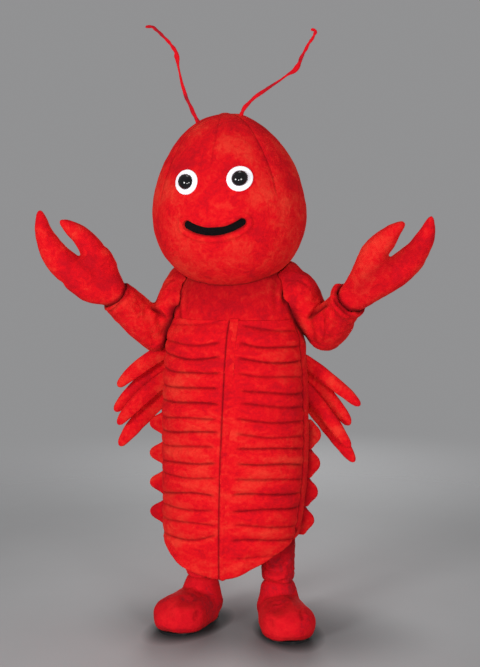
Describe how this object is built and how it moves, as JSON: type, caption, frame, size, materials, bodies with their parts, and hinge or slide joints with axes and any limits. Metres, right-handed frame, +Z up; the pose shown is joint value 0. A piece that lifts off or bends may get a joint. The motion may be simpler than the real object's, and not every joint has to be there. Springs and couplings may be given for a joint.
{
  "type": "plush crayfish costume",
  "caption": "Standing red plush crayfish suit with padded head, ribbed belly panel, stuffed claws, side legs, scalloped edges and shoe covers.",
  "frame": {"origin": "on the floor, under the middle of the whole suit's box", "axes": "+Z up, the front of the suit faces -Y, and its own left side is on +X"},
  "size_m": [1.476, 0.5288, 2.2923],
  "materials": {
    "plush_red": "short-pile plush with a brushed nap",
    "felt_white": "pressed wool felt",
    "eye_black": "polished",
    "gauze_black": "open woven gauze",
    "sole_rubber": "matt, finely ribbed"
  },
  "bodies": {
    "root": {"head": "plush_red", "mouth_mesh": "gauze_black", "eye_felt_left": "felt_white", "eye_dome_left": "eye_black", "feeler_left": "plush_red", "eye_felt_right": "felt_white", "eye_dome_right": "eye_black", "feeler_right": "plush_red", "torso": "plush_red", "belly_panel": "plush_red", "zip_placket": "plush_red", "sleeve_left": "plush_red", "claw_left": "plush_red", "leg_left": "plush_red", "shoe_left": "plush_red", "sole_left": "sole_rubber", "side_leg_left_1": "plush_red", "scallop_left_1": "plush_red", "side_leg_left_2": "plush_red", "scallop_left_2": "plush_red", "side_leg_left_3": "plush_red", "scallop_left_3": "plush_red", "side_leg_left_4": "plush_red", "scallop_left_4": "plush_red", "sleeve_right": "plush_red", "claw_right": "plush_red", "leg_right": "plush_red", "shoe_right": "plush_red", "sole_right": "sole_rubber", "side_leg_right_1": "plush_red", "scallop_right_1": "plush_red", "side_leg_right_2": "plush_red", "scallop_right_2": "plush_red", "side_leg_right_3": "plush_red", "scallop_right_3": "plush_red", "side_leg_right_4": "plush_red", "scallop_right_4": "plush_red"}
  },
  "joints": []
}
